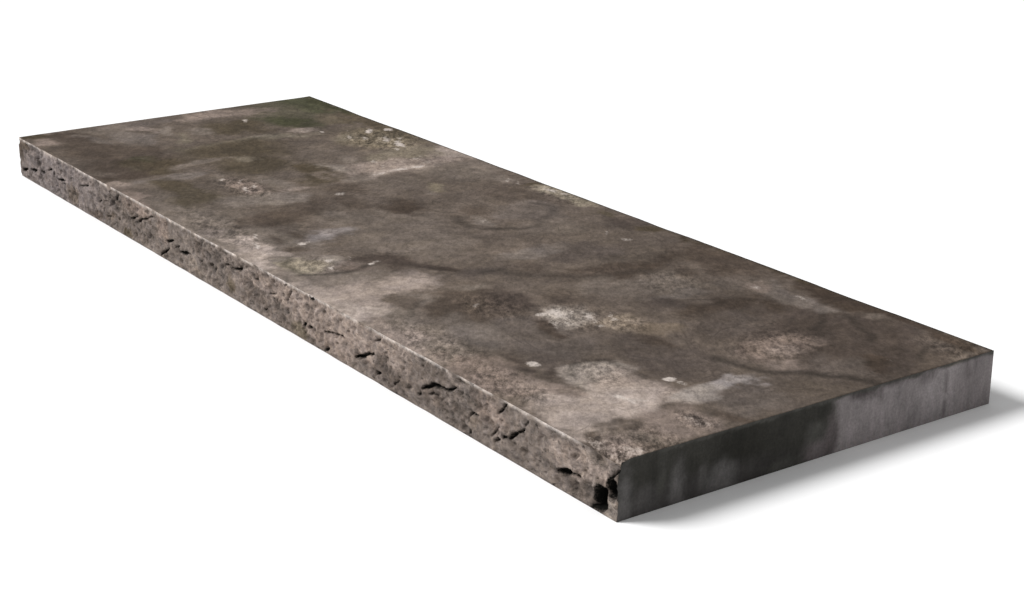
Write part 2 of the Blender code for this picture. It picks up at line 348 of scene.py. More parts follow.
# Patches of the riven top in mm: middle x, middle y, half length, half width, tone, tint, and
# where these aren't usual, softness of the edge and turn in degrees. Later ones lie over
# earlier ones.
USUAL_EDGE = (0.9, 0)
TOP_PATCHES = (
    # pale ground along the front edge, dark ground along the back edge
    (60, -198, 290, 56, 120, "warm", 1.0),
    (420, 209, 210, 8, 60, "olive"),
    (-440, 208, 110, 9, 72, "olive"),
    # the far third, by the back
    (-555, 150, 80, 64, 84, "moss"),
    (-592, 176, 26, 34, 76, "green", 1.0),
    (-552, 182, 48, 20, 79, "green", 1.0),
    (-490, 110, 46, 24, 69, "green", 1.0, 40),
    (-556, 203, 60, 9, 62, "green"),
    (-582, 58, 26, 62, 124, "pink", 0.8),
    (-505, 45, 44, 36, 76, "olive"),
    (-438, 104, 10, 17, 148, "pink", 0.9, 10),
    (-436, 20, 14, 84, 128, "olive", 1.0),
    (-345, 158, 66, 42, 104, "tan"),
    (-372, 132, 18, 14, 120, "tan", 1.0),
    (-470, 170, 26, 18, 88, "olive", 1.0),
    (-430, 198, 84, 14, 78, "olive", 1.0),
    (-310, 76, 40, 34, 98, "warm", 1.0),
    (-385, -15, 52, 72, 74, "olive"),
    (-320, -15, 44, 46, 76, "olive"),
    (-268, 22, 34, 18, 69, "olive"),
    (-222, 8, 18, 30, 74, "olive", 1.0),
    (-240, 50, 30, 15, 134, "warm", 1.0),
    (-276, 80, 15, 11, 112, "warm", 1.0),
    (-234, 124, 38, 96, 132, "pink", 0.5),
    (-236, 100, 30, 24, 130, "pink", 1.0),
    (-203, 92, 7, 60, 156, "pink"),
    (-234, 198, 34, 15, 156, "pink", 1.0),
    (-192, 42, 14, 18, 110, "warm"),
    (-197, -42, 10, 20, 130, "pink", 1.1),
    (-270, 150, 22, 50, 112, "olive"),
    # the far third, by the front
    (-506, -8, 20, 13, 118, "warm"),
    (-540, -42, 16, 9, 120, "warm", 0.9, -20),
    (-482, -42, 22, 10, 108, "olive", 1.0, -20),
    (-521, -85, 52, 30, 110, "mauve", 0.5),
    (-586, -92, 24, 40, 110, "warm"),
    (-562, -66, 18, 11, 134, "pink"),
    (-590, -34, 18, 26, 98, "mauve"),
    (-578, -158, 34, 18, 70, "warm", 0.8),
    (-500, -155, 74, 30, 77, "warm", 0.8),
    (-450, -110, 40, 34, 76, "warm"),
    (-540, -134, 28, 8, 102, "mauve", 0.9, 10),
    (-557, -194, 16, 13, 122, "pink", 0.8),
    (-600, -190, 10, 26, 66, "olive"),
    (-402, -127, 18, 14, 60, "green", 1.4),
    (-400, -170, 46, 22, 74, "warm"),
    (-382, -148, 12, 8, 104, "olive", 0.9, -20),
    (-378, -124, 34, 34, 68, "olive"),
    (-356, -166, 18, 46, 68, "warm", 1.0),
    (-366, -84, 10, 44, 110, "warm"),
    (-352, -25, 14, 12, 106, "olive"),
    (-316, -112, 14, 18, 118, "mauve"),
    (-322, -150, 13, 56, 108, "mauve"),
    (-328, -198, 14, 12, 132, "pink"),
    (-350, -138, 14, 16, 74, "olive", 1.0),
    (-230, -42, 24, 16, 114, "warm", 1.0),
    (-290, -90, 24, 8, 106, "warm", 0.8, -25),
    (-236, -80, 30, 13, 116, "pink"),
    (-282, -142, 46, 20, 76, "olive", 0.8),
    (-225, -155, 40, 22, 84, "olive"),
    (-262, -206, 50, 7, 118, "pink"),
    # the middle, by the back
    (-164, 168, 42, 44, 110, "warm"),
    (-95, 180, 20, 12, 114, "warm"),
    (-62, 197, 10, 11, 70, "olive"),
    (-30, 198, 22, 12, 142, "tan"),
    (10, 198, 30, 12, 138, "tan"),
    (-30, 148, 62, 34, 85, "warm"),
    (-160, 80, 34, 50, 102, "warm", 1.0),
    (-118, 102, 18, 9, 114, "tan", 0.9, -20),
    (-94, 78, 12, 5, 108, "warm", 0.8, -20),
    (22, 126, 42, 38, 96, "mauve", 0.5),
    (-4, 80, 24, 16, 82, "warm", 1.0),
    (26, 64, 20, 12, 114, "warm", 0.8),
    (120, 190, 28, 20, 77, "mauve", 0.8),
    (155, 199, 14, 11, 68, "olive"),
    (85, 193, 12, 8, 84, "olive"),
    (95, 122, 28, 30, 104, "warm", 1.0),
    (150, 140, 22, 12, 96, "warm", 1.0),
    (182, 85, 24, 36, 86, "mauve", 0.8),
    (150, 42, 18, 34, 110, "mauve"),
    # the middle, by the front
    (15, -30, 96, 56, 106, "warm"),
    (-65, 20, 36, 24, 74, "warm", 0.6, -8),
    (-56, 24, 22, 14, 66, "warm", 1.2),
    (-164, 10, 26, 24, 80, "warm", 1.3),
    (-135, -60, 34, 36, 82, "warm"),
    (-108, -118, 22, 44, 76, "warm"),
    (-172, -62, 26, 13, 110, "mauve"),
    (-110, -15, 24, 20, 82, "warm"),
    (-184, -98, 26, 44, 123, "warm"),
    (-22, -100, 15, 26, 142, "lilac", 1.3, -8),
    (-40, -124, 18, 6, 84, "warm", 1.2),
    (-36, -149, 16, 5, 86, "warm", 1.2, -15),
    (10, -154, 20, 13, 84, "warm", 1.1),
    (-60, -165, 48, 5, 112, "warm", 0.9, -24),
    (-105, -190, 34, 14, 104, "mauve"),
    (-16, -194, 56, 18, 158, "pink", 0.8),
    (26, -194, 26, 22, 164, "pink", 0.7),
    (66, -198, 22, 12, 112, "warm"),
    (64, -158, 42, 32, 104, "mauve", 0.6),
    (54, -137, 16, 10, 138, "warm", 1.0),
    (46, -174, 16, 14, 134, "mauve", 1.0),
    (58, -166, 26, 17, 142, "tan", 0.8, -25),
    (52, -157, 15, 7, 120, "olive", 1.0, -20),
    (96, -84, 30, 22, 68, "mauve", 0.9, 10),
    (126, -70, 22, 10, 72, "mauve", 0.9, 35),
    (146, -58, 16, 9, 64, "mauve", 0.9, 20),
    (190, 14, 22, 20, 84, "warm"),
    (92, -130, 16, 12, 114, "pink", 1.0),
    (212, -74, 18, 20, 118, "warm", 1.0),
    (-72, -46, 24, 18, 112, "warm", 1.0),
    (172, -34, 16, 22, 84, "mauve"),
    (164, -120, 27, 42, 146, "pink", 0.7),
    (165, -165, 44, 34, 148, "pink", 0.7),
    (172, -200, 66, 16, 158, "pink", 0.7),
    (112, -164, 16, 18, 116, "warm"),
    (215, -192, 27, 26, 166, "pink", 0.35),
    # the near third, by the back
    (500, 130, 116, 82, 71, "mauve", 0.8),
    (500, 206, 116, 8, 64, "warm"),
    (256, 110, 16, 64, 68, "warm", 1.4),
    (270, 178, 60, 28, 72, "warm"),
    (336, 142, 16, 22, 102, "warm", 1.0, 30),
    (300, 88, 40, 36, 112, "warm", 0.8, 30),
    (336, 82, 15, 22, 110, "mauve"),
    (345, 48, 18, 20, 80, "mauve", 0.8),
    (286, 34, 28, 26, 106, "warm"),
    (405, 164, 54, 15, 106, "mauve", 0.6, 6),
    (362, 158, 12, 8, 120, "pink", 0.8),
    (434, 196, 62, 12, 62, "warm", 1.0),
    (386, 92, 14, 44, 69, "warm", 1.0),
    (402, 134, 12, 10, 66, "warm", 0.8),
    (430, 60, 26, 40, 86, "mauve"),
    (490, 48, 30, 44, 106, "pink", 0.6, 30),
    (503, 52, 16, 18, 118, "pink"),
    (541, 32, 17, 20, 120, "pink"),
    (568, 74, 22, 16, 92, "mauve", 1.0),
    (586, 20, 22, 28, 92, "warm"),
    (470, 120, 18, 14, 70, "mauve", 1.2),
    (446, 166, 10, 12, 110, "mauve", 1.0),
    (488, 192, 11, 7, 100, "warm", 1.0),
    (607, 170, 6, 12, 100, "warm", 1.0),
    (290, 132, 20, 14, 82, "warm", 1.0),
    (250, 78, 18, 14, 72, "warm", 1.2),
    (572, 106, 22, 9, 64, "warm", 1.2, -20),
    (596, 140, 12, 36, 84, "warm", 0.8),
    # the near third, by the front
    (462, -44, 62, 38, 85, "mauve", 0.6),
    (428, -16, 16, 9, 74, "warm", 1.2),
    (576, -40, 28, 24, 98, "mauve"),
    (594, -82, 20, 6, 74, "warm", 0.9, 10),
    (252, -116, 50, 42, 78, "warm", 0.5),
    (212, -132, 16, 16, 112, "warm", 1.0),
    (212, -150, 28, 13, 92, "warm", 0.7),
    (266, -68, 28, 18, 68, "mauve"),
    (362, -102, 66, 46, 95, "mauve", 0.5),
    (330, -44, 32, 23, 142, "warm", 0.7, -20),
    (314, -46, 12, 13, 170, "warm"),
    (368, -16, 20, 20, 126, "sand"),
    (396, 4, 16, 18, 112, "sand", 1.0),
    (284, -20, 22, 20, 84, "warm", 1.2),
    (340, -78, 22, 7, 72, "warm", 1.2, -10),
    (314, -142, 38, 22, 112, "mauve", 1.0, -15),
    (408, -128, 20, 12, 86, "mauve", 1.0),
    (434, -130, 9, 20, 72, "mauve", 0.9, -15),
    (404, -152, 26, 6, 72, "mauve", 0.9, -8),
    (296, -203, 76, 11, 136, "pink"),
    (314, -178, 78, 19, 112, "warm", 0.7),
    (292, -192, 20, 14, 136, "pink", 1.0),
    (416, -190, 58, 24, 113, "pink", 0.5),
    (456, -108, 32, 29, 138, "warm", 0.35),
    (494, -110, 34, 26, 142, "pink", 0.7),
    (514, -156, 36, 58, 159, "pink", 0.45),
    (492, -170, 30, 32, 156, "pink", 0.8),
    (456, -166, 34, 15, 126, "pink", 0.9, 20),
    (532, -192, 24, 22, 160, "pink"),
    (572, -104, 16, 8, 112, "pink", 1.0),
    (516, -125, 16, 7, 168, "pink", 1.0, 20),
    (534, -84, 16, 14, 150, "pink", 0.8),
    (580, -122, 34, 34, 122, "pink", 0.5),
    (582, -172, 42, 7, 106, "warm", 0.9, 54),
    (564, -198, 8, 12, 84, "warm", 0.9, 30),
    (592, -194, 26, 18, 120, "pink", 0.8),
    (534, -44, 9, 38, 154, "lilac", 0.8, -4),
    (536, -68, 14, 20, 148, "mauve"),
)

# Pale flecks on the riven top in mm: middle x, middle y, half length, half width, turn in
# degrees, and how solid: 1 is one whole fleck, and about 0.5 is a scatter of crumbs.
FLECKS = (
    (-306, 168, 11, 6, -20, 1.0),
    (-318, 174, 11, 5, -20, 0.8),
    (-340, 164, 46, 30, 0, 0.38),
    (-346, 172, 12, 4, -25, 0.8),
    (-330, 186, 9, 4, -25, 0.7),
    (-360, 150, 9, 4, -20, 0.7),
    (-390, 175, 13, 5, -25, 0.9),
    (-380, 197, 10, 5, -20, 0.9),
    (-334, 165, 11, 4, -25, 0.8),
    (-374, 134, 12, 5, -25, 0.7),
    (-410, 150, 8, 4, -20, 0.6),
    (-290, 150, 11, 4, -20, 0.7),
    (-420, 122, 8, 5, 0, 0.8),
    (-438, 106, 8, 12, 0, 0.42),
    (-527, 70, 12, 4, -25, 0.8),
    (-204, 132, 5, 12, 0, 0.9),
    (-203, 105, 4, 14, 0, 0.8),
    (-203, 76, 4, 12, 0, 0.7),
    (-214, 150, 8, 5, -30, 0.7),
    (-226, 92, 10, 3, -30, 0.6),
    (-250, 102, 10, 4, -30, 0.6),
    (-238, 150, 9, 4, -30, 0.6),
    (-236, 130, 34, 60, 0, 0.3),
    (-152, -6, 9, 6, -30, 0.66),
    (-197, -42, 4, 12, 0, 0.45),
    (-228, -86, 18, 4, -20, 0.75),
    (-236, -72, 12, 4, -20, 0.7),
    (-262, -78, 12, 3, -30, 0.7),
    (-282, -90, 14, 3, -30, 0.6),
    (-28, -177, 15, 4, -24, 0.9),
    (-56, -163, 12, 3, -24, 0.7),
    (-8, -138, 6, 6, 0, 1.0),
    (-12, -128, 4, 8, 0, 0.7),
    (-92, 182, 15, 4, -25, 0.7),
    (-74, 188, 10, 3, -25, 0.6),
    (-30, 200, 14, 5, 0, 0.8),
    (-8, 203, 10, 4, 0, 0.7),
    (26, 64, 14, 8, 0, 0.45),
    (90, -113, 5, 5, 0, 0.9),
    (86, -103, 5, 6, 20, 0.66),
    (56, -141, 9, 5, -10, 0.85),
    (79, -152, 7, 3, -30, 0.85),
    (61, -120, 7, 3, -25, 0.6),
    (78, -136, 7, 3, -35, 0.55),
    (137, 150, 9, 4, -20, 0.6),
    (170, 148, 8, 5, 0, 0.6),
    (332, -46, 28, 20, -20, 0.38),
    (310, -46, 7, 10, 30, 0.85),
    (334, -27, 9, 4, -20, 0.85),
    (320, -50, 8, 4, -30, 0.85),
    (308, -60, 5, 7, 20, 0.85),
    (322, -38, 12, 3, -30, 0.65),
    (352, -32, 14, 3, -40, 0.6),
    (338, -66, 16, 4, -25, 0.6),
    (338, -54, 10, 4, -30, 0.65),
    (366, -16, 18, 18, 0, 0.34),
    (346, -6, 10, 3, -35, 0.65),
    (362, -36, 6, 5, 0, 0.65),
    (358, -12, 8, 5, -30, 0.65),
    (255, -97, 4, 9, 20, 0.55),
    (407, -141, 9, 6, 20, 0.9),
    (501, -68, 6, 7, 0, 1.0),
    (513, -64, 6, 4, 0, 0.62),
    (516, -126, 22, 4, 0, 0.8),
    (524, -118, 8, 3, 40, 0.8),
    (411, 170, 9, 6, 0, 0.58),
    (362, 157, 10, 7, 0, 0.55),
    (574, 119, 7, 3, -20, 0.6),
    (586, -200, 40, 13, 0, 0.46),
    (600, -186, 14, 10, 0, 0.55),
    (585, -106, 18, 10, 0, 0.42),
)
FLECK_REACH = 1.5  # where a fleck has faded out, in half widths

# Dark lines on the riven top in mm: strength, half width, then the points it runs through.
VEINS = (
    (0.7, 9.0, (262, 96), (254, 62), (242, 36), (222, 12), (205, -6), (180, -16), (172, -40)),
    (0.55, 8.0, (172, -40), (150, -58), (126, -74), (100, -90)),
    (1.0, 5.5, (606, 66), (585, 60), (566, 46), (548, 24), (530, 8), (508, 0), (486, -2)),
    (0.8, 4.5, (484, -82), (440, -84), (427, -98), (432, -112), (446, -132)),
    (0.6, 5.5, (430, -146), (418, -156), (392, -164), (350, -164), (320, -156)),
    (0.8, 6.0, (62, 116), (74, 100), (76, 84), (64, 62), (44, 44), (18, 40), (-2, 52)),
    (0.7, 5.0, (0, 150), (24, 160), (48, 148), (60, 128)),
    (0.95, 5.5, (92, -118), (100, -140), (98, -168), (78, -184), (50, -186), (30, -172)),
    (0.8, 4.0, (578, 186), (572, 164), (580, 148), (592, 138)),
    (0.8, 5.0, (468, 170), (482, 168), (500, 156), (522, 150), (530, 136)),
    (0.8, 4.0, (452, 160), (466, 140), (480, 120)),
    (0.9, 2.5, (588, -108), (580, -102), (572, -106)),
    (0.8, 4.0, (215, -128), (225, -145), (238, -160)),
)

# Ground of the riven top that crumbles and is speckled, in mm: middle x, middle y, half length,
# half width, how strongly.
CRUMBLES = (
    (320, -184, 80, 28, 0.9),
    (455, -108, 30, 26, 0.8),
    (594, -170, 34, 34, 1.1),
    (588, -198, 30, 18, 1.5),
    (430, -190, 60, 24, 1.0),
    (582, -108, 22, 14, 1.2),
    (330, -42, 40, 30, 1.0),
    (370, -14, 24, 24, 1.0),
    (62, -160, 34, 26, 0.8),
    (-345, 164, 62, 44, 1.2),
    (-234, 130, 44, 90, 0.4),
    (-240, -84, 50, 22, 1.3),
    (265, -88, 40, 30, 0.9),
    (488, 60, 34, 50, 0.9),
    (300, 100, 34, 30, 0.7),
    (590, 185, 40, 26, 0.9),
    (-10, 195, 60, 16, 0.9),
    (-100, -180, 90, 24, 0.8),
)
CRUMBLE_SOFTNESS = 0.9

# How far all three of these marks wander, each layer: size of the waves, reach, in mm.
MARK_WANDER = ((30, 6), (9, 3))
MARK_SEED = 30.0

# Patches of the sawn end at +X in the same way, with y and z for x and y.
END_PATCHES = (
    (146, 24, 26, 50, 106, "grey", 1.0),
    (186, 28, 26, 40, 92, "grey", 1.0),
    (-110, 26, 130, 120, 39, "slate", 0.06),
    (-60, 34, 70, 26, 37, "slate", 1.2),
    (-80, 30, 24, 22, 28, "slate", 1.4),
    (-130, 6, 90, 12, 46, "ash", 1.6),
    (-203, 14, 7, 30, 71, "ash", 1.2),
    (-180, 6, 12, 14, 60, "ash", 1.4),
    (-150, 12, 7, 18, 74, "ash", 1.4),
    (-124, 10, 4, 16, 60, "ash", 1.4),
    (-104, 8, 12, 13, 78, "ash", 1.4),
    (-165, 28, 4, 18, 52, "slate", 1.4),
    (-35, 3, 22, 5, 54, "slate", 1.2),
    (2, 8, 14, 15, 72, "grey", 1.2),
    (-2, 24, 12, 8, 56, "slate", 1.2),
    (16, 16, 7, 16, 62, "grey", 1.2),
    (50, 50, 20, 8, 60, "grey", 1.0),
    (70, 46, 4, 11, 72, "grey", 1.2),
    (86, 50, 16, 6, 74, "grey", 1.0),
    (104, 49, 6, 8, 84, "grey", 1.2),
    (128, 49, 14, 8, 84, "grey", 1.2),
    (151, 26, 1.4, 40, 82, "grey", 1.2),
    (177, 42, 3, 14, 80, "grey", 1.2),
    (100, 20, 3, 30, 92, "grey", 1.2),
    (160, 50, 12, 2.5, 90, "tan", 1.0),
    (206, 25, 3, 30, 88, "grey", 1.2),
    (0, 51, 300, 3.2, 52, "slate", 1.0),
)

# Patches of the pitched face in the same way, with z for y.
FACE_PATCHES = (
    (-490, 25, 130, 60, 121, "lilac", 1.4),
    (-520, 42, 50, 12, 126, "lilac", 1.0),
    (-588, 44, 16, 7, 94, "warm"),
    (-604, 36, 7, 16, 84, "warm"),
    (-440, 14, 18, 12, 112, "warm"),
    (-330, 12, 14, 5, 114, "warm", 0.9, 20),
    (-375, 4, 20, 5, 92, "mauve"),
    (-260, 42, 40, 10, 132, "pink"),
    (-285, 4, 14, 5, 98, "olive"),
    (-185, 36, 14, 14, 132, "pink"),
    (-100, 36, 14, 6, 102, "mauve"),
    (-110, 13, 22, 7, 128, "warm"),
    (-28, 15, 10, 7, 90, "olive"),
    (150, 32, 160, 26, 146, "pink"),
    (190, 10, 46, 12, 138, "pink"),
    (20, 18, 14, 8, 104, "mauve"),
    (70, 14, 32, 10, 110, "mauve"),
    (118, 9, 18, 7, 110, "olive"),
    (235, 7, 20, 7, 126, "mauve"),
    (268, 18, 14, 9, 104, "mauve"),
    (296, 12, 20, 13, 102, "mauve"),
    (350, 18, 26, 9, 106, "mauve"),
    (350, 42, 20, 6, 110, "mauve"),
    (415, 14, 8, 8, 120, "warm", 0.5),
    (420, 42, 9, 7, 98, "mauve", 0.6),
    (440, 30, 22, 16, 136, "pink"),
    (511, 36, 3, 7, 100, "mauve", 0.9, -10),
    (558, 32, 34, 13, 154, "pink"),
    (545, 8, 16, 6, 110, "mauve"),
    (592, 32, 14, 12, 150, "pink"),
    (586, 44, 12, 5, 124, "warm"),
    (602, 7, 9, 8, 156, "warm", 0.8),
)

# The bright worn line along the top of the pitched face, in mm.
ARRIS_TONE = 198
ARRIS_WIDTH = 2.2
ARRIS_REACH = 1.5  # how far down it has faded out, in widths
ARRIS_END = 572  # where it has crumbled away, along the slab
ARRIS_CRUMBLING = 30.0  # how far before that it starts to
# Nicks in that line: their tone, their size, and how it fades where their noise is strong.
NICK_TONE = 120
NICK_SIZE = 20.0
NICK_SEED = 80.0
NICK_WHOLE, NICK_FADE = 1.8, 2.8

# How strongly a hole is darkened with painted shade at its middle, and how much less on its edge.
HOLE_DARK, HOLE_DARK_FADE = 1.9, 1.2
# The half width from which a crack's painted shade is as dark as any, and the share of it that the
# finest keeps.
BOLD_CRACK = 0.0016
FAINTEST_CRACK = 0.7

# The paint of each side: the seed of its noise, how far its patches wander, how far their edges
# run in and out (each layer: size of the waves, reach, in mm), its ground and its patches.
TOP_PAINT = {
    "seed": 20.0,
    "wander": ((80, 20), (34, 9), (13, 3)),
    "ragged": ((28, 9), (12, 7), (6, 4)),
    "ground": (94, "warm"),
    "patches": TOP_PATCHES,
}
END_PAINT = {
    "seed": 60.0,
    "wander": ((24, 3), (8, 1.5)),
    "ragged": ((14, 3), (5, 1.5)),
    "ground": (98, "grey"),
    "patches": END_PATCHES,
}
FACE_PAINT = {
    "seed": 40.0,
    "wander": ((24, 5), (8, 2)),
    "ragged": ((12, 4), (5, 2.5)),
    "ground": (120, "mauve"),
    "patches": FACE_PATCHES,
}
MOST_RAGGED = 0.4  # the most that an edge runs in and out, in shares of a patch's narrow half
SECOND_SEED, RAGGED_SEED = 5.0, 9.0  # added to a seed for a second noise and for ragged edges

# The sides with a finish of their own, then the sawn sides that no patch is painted on.
SIDES = 4
RIVEN, PITCHED, SAWN, PLAIN = range(SIDES)
# What the paint of each is scaled by, to even out the studio light that falls on it.
EVEN_LIGHT = (0.81, 0.76, 1.63, 1.30)
TOWARDS_END = 0.5  # a sawn side whose normal reaches less than this along +X isn't painted


def linear(tone, tint="warm"):
    """The linear colour of an sRGB tone from 0 to 255 with a tint added."""
    shades = np.clip(np.add(tone, TINTS[tint]), 0, 255) / 255
    return np.where(shades <= 0.04045, shades / 12.92, ((shades + 0.055) / 1.055) ** 2.4)


def wave(x, y, size, layer):
    """Smooth noise about zero at each of these places."""
    return np.array([rolling(a, b, size, layer) for a, b in zip(x, y)])


def wandered(x, y, layers, seed):
    """Places moved about by smooth noise, so that no edge painted there is straight."""
    across, up = x.astype(float), y.astype(float)
    for size, reach in layers:
        across = across + reach * wave(x, y, size, seed)
        up = up + reach * wave(x, y, size, seed + SECOND_SEED)
    return across, up


def patch_mask(x, y, ellipse, softness, waves=()):
    """1 inside an ellipse, falling to 0 across its soft edge, ragged with waves."""
    inside = 1.0 - from_middle(x, y, *ellipse)
    for reach, ripple in waves:
        inside = inside + min(reach / min(ellipse[2:4]), MOST_RAGGED) * ripple
    return smooth_all(inside / softness + 0.5)


def painted(x, y, seed, wander, ragged, ground, patches):
    """Colours at these places: a ground with the patches laid over it in turn."""
    colours = np.tile(linear(*ground), (len(x), 1))
    waves = [(reach, wave(x, y, size, seed + RAGGED_SEED)) for size, reach in ragged]
    middles = np.array([patch[:2] for patch in patches], float).T
    middles = zip(*wandered(*middles, wander, seed))
    x, y = wandered(x, y, wander, seed)
    for middle, (_, _, half_x, half_y, tone, tint, *edge) in zip(middles, patches):
        softness, turn = (*edge, *USUAL_EDGE[len(edge):])
        mask = patch_mask(x, y, (*middle, half_x, half_y, turn), softness, waves)
        colours += mask[:, None] * (linear(tone, tint) - colours)
    return colours


def nearness(x, y, points):
    """1 on the line through these points, 0.5 at its half width and 0 at twice that."""
    nearest = np.zeros(len(x))
    for (x0, y0, width0), (x1, y1, width1) in zip(points, points[1:]):
        dx, dy = x1 - x0, y1 - y0
        along = np.clip(((x - x0) * dx + (y - y0) * dy) / (dx * dx + dy * dy), 0.0, 1.0)
        distance = np.hypot(x - x0 - along * dx, y - y0 - along * dy)
        nearest = np.maximum(nearest, 1.0 - 0.5 * distance / (width0 + along * (width1 - width0)))
    return nearest


def top_marks(x, y):
    """Pale flecks, dark lines and crumbling ground as three masks."""
    marks = np.zeros((len(x), 3))
    x, y = wandered(x, y, MARK_WANDER, MARK_SEED)
    for *ellipse, solid in FLECKS:
        fleck = np.clip(FLECK_REACH - from_middle(x, y, *ellipse), 0.0, 1.0)
        marks[:, 0] = np.maximum(marks[:, 0], fleck * solid)
    for strength, width, *points in VEINS:
        line = nearness(x, y, [(*point, width) for point in points])
        marks[:, 1] = np.maximum(marks[:, 1], line * strength)
    for *ellipse, strength in CRUMBLES:
        mask = patch_mask(x, y, ellipse, CRUMBLE_SOFTNESS)
        marks[:, 2] = np.maximum(marks[:, 2], mask * strength)
    return marks


def crack_marks(x, z):
    """How near these places on the pitched face are to a crack or a hole, which sets the painted
    shade there, and how deep the crack is there."""
    place = wandered(x, z, CRACK_WANDER, CRACK_SEED)
    near, depth = np.zeros(len(x)), np.zeros(len(x))
    for *ellipse, _ in HOLES:
        radius = from_middle(x / MM, z / MM, *ellipse)
        near = np.maximum(near, HOLE_DARK - HOLE_DARK_FADE * radius)
    for points in CRACKS:
        line = nearness(*place, points)
        widest = max(width for _, _, width in points) / MM
        near = np.maximum(near, line * np.clip(widest / BOLD_CRACK, FAINTEST_CRACK, 1.0))
        sunk = smooth_all((line - CRACK_LIP) / CRACK_WALL)
        depth = np.maximum(depth, CRACK_DEPTH * widest * sunk)
    return near, depth


def corner_sides(mesh):
    """For each face corner, the painted side that it lies on and the point that it is at."""
    count = len(mesh.polygons)
    sides, corners = np.empty(count, np.int32), np.empty(count, np.int32)
    points, normals = np.empty(len(mesh.loops), np.int32), np.empty(count * 3, np.float32)
    mesh.polygons.foreach_get("material_index", sides)
    mesh.polygons.foreach_get("loop_total", corners)
    mesh.polygons.foreach_get("normal", normals)
    mesh.loops.foreach_get("vertex_index", points)
    sides[(sides == SAWN) & (normals[::3] < TOWARDS_END)] = PLAIN
    return np.repeat(sides, corners), points


def painted_front(x, z):
    """The colours of the pitched face, with the bright worn line along its top edge."""
    colours = painted(x, z, **FACE_PAINT)
    edge = np.clip(ARRIS_REACH - (THICKNESS * MM - z) / ARRIS_WIDTH, 0.0, 1.0)
    edge *= np.clip((ARRIS_END - x) / ARRIS_CRUMBLING, 0.0, 1.0)
    strong = np.abs(wave(x, z, NICK_SIZE, NICK_SEED))
    whole = np.clip(NICK_WHOLE - NICK_FADE * strong, 0.0, 1.0)
    nicked, arris = linear(NICK_TONE), linear(ARRIS_TONE, "mauve")
    line = nicked + whole[:, None] * (arris - nicked)
    return colours + edge[:, None] * (line - colours)


def paint_stone(mesh, rest, relief, near_crack):
    """Write the stain and the marks on each face corner, from its place on the block at rest."""
    x, y, z = (rest * MM).T
    top = lies_on(rest[:, 2], THICKNESS)
    front = lies_on(rest[:, 1], FRONT)
    end = lies_on(rest[:, 0], END)
    stains = np.tile(linear(*END_PAINT["ground"]), (SIDES, len(rest), 1))
    stains[RIVEN, top] = painted(x[top], y[top], **TOP_PAINT)
    stains[SAWN, end] = painted(y[end], z[end], **END_PAINT)
    stains[PITCHED, front] = painted_front(x[front], z[front])
    stains *= np.array(EVEN_LIGHT)[:, None, None]
    # Red, green and blue of the marks are flecks, veins and crumbling on the top. On the face,
    # red is how far it stands proud, which the face turns into painted highlight on its ridges and
    # painted shade in its hollows, and green is how near a crack or hole is, for painted black
    # shade.
    marks = np.zeros((SIDES, len(rest), 3))
    marks[RIVEN, top] = top_marks(x[top], y[top])
    marks[PITCHED, front, 0] = 1.0 - relief[front] / relief.max()
    marks[PITCHED, front, 1] = near_crack[front]
    sides, points = corner_sides(mesh)
    for name, values in (("stain", stains), ("marks", marks)):
        layer = mesh.attributes.new(name, "FLOAT_COLOR", "CORNER")
        colours = np.ones((len(points), 4), np.float32)
        colours[:, :3] = values[sides, points]
        layer.data.foreach_set("color", colours.ravel())


# ---- finishes
GLOSS = 0.1
# Near-black: dark stains on the top, and the painted shade in the cracks and holes of the face.
STAIN_AND_SHADE_BLACK = (*linear(17, "slate"), 1.0)
SHELL = tuple(linear(184))
# What a hue drifts towards, as a multiplier of red, green and blue.
RUST = (1.01, 1.0, 0.96)
OCHRE = (1.05, 1.01, 0.95)
# The values that most of a noise lies between, and the narrower band that a hue drifts across.
NOISE_RANGE = (0.3, 0.7)
HUE_RANGE = (0.38, 0.62)

# Noises are each: size, detail, roughness and, if it has any, warp. Ranges are each: from low,
# from high and, unless it is 0 to 1, to first, to last. Strengths are how much lighter and
# darker a noise makes the colour. Shares are how much of a noise is added.

# The riven top, its noises first.
TOP_ROUGHNESS = 0.85
TOP_CLOUD = (0.075, 7.0, 0.62, 0.6)
TOP_MOTTLE = (0.020, 6.0, 0.70)
TOP_SPECK = (0.0072, 5.0, 0.75)
TOP_GRIT = (0.0030, 3.0, 0.75)
TOP_RUBBLE = (0.0065, 4.0, 0.80)
TOP_RUST = (0.032, 4.0, 0.7)
TOP_DAMP = (0.120, 4.0, 0.55, 0.9)
TOP_STRENGTHS = (0.28, 0.32, 0.18, 0.22)  # of the first four
# How much longer than wide the grain of the top is, along X, Y and Z, and its turn in degrees.
TOP_DRAWN = (1.8, 1.0, 1.0)
TOP_GRAIN_TURN = -35.0
TIDE_LINE = (0.002, 0.014, 0.35, 0.0)
TIDE_GAPS = (0.42, 0.60)
VEIN_SOOT = (0.45, 1.15, 0.0, 0.55)
VEIN_RAGGED = 0.5  # share of the mottle
CRUMB_SHADE = (0.38, 0.64, -0.50, 0.65)
DARKEST_CRUMB = 0.12
SHELL_SHADE = (0.35, 0.65, 0.72, 1.18)
FLECK_EDGE = (1.12, 1.52, 0.0, 0.95)
FLECK_RAGGED = 1.4  # share of the rubble
FLECK_SOLID = (0.35, 0.95, 0.62, 1.0)
TOP_BUMP = 0.0010
SOUND_RUBBLE = 0.25  # how rough the ground is where it doesn't crumble
GRIT_BUMP = 0.3  # share of the grit

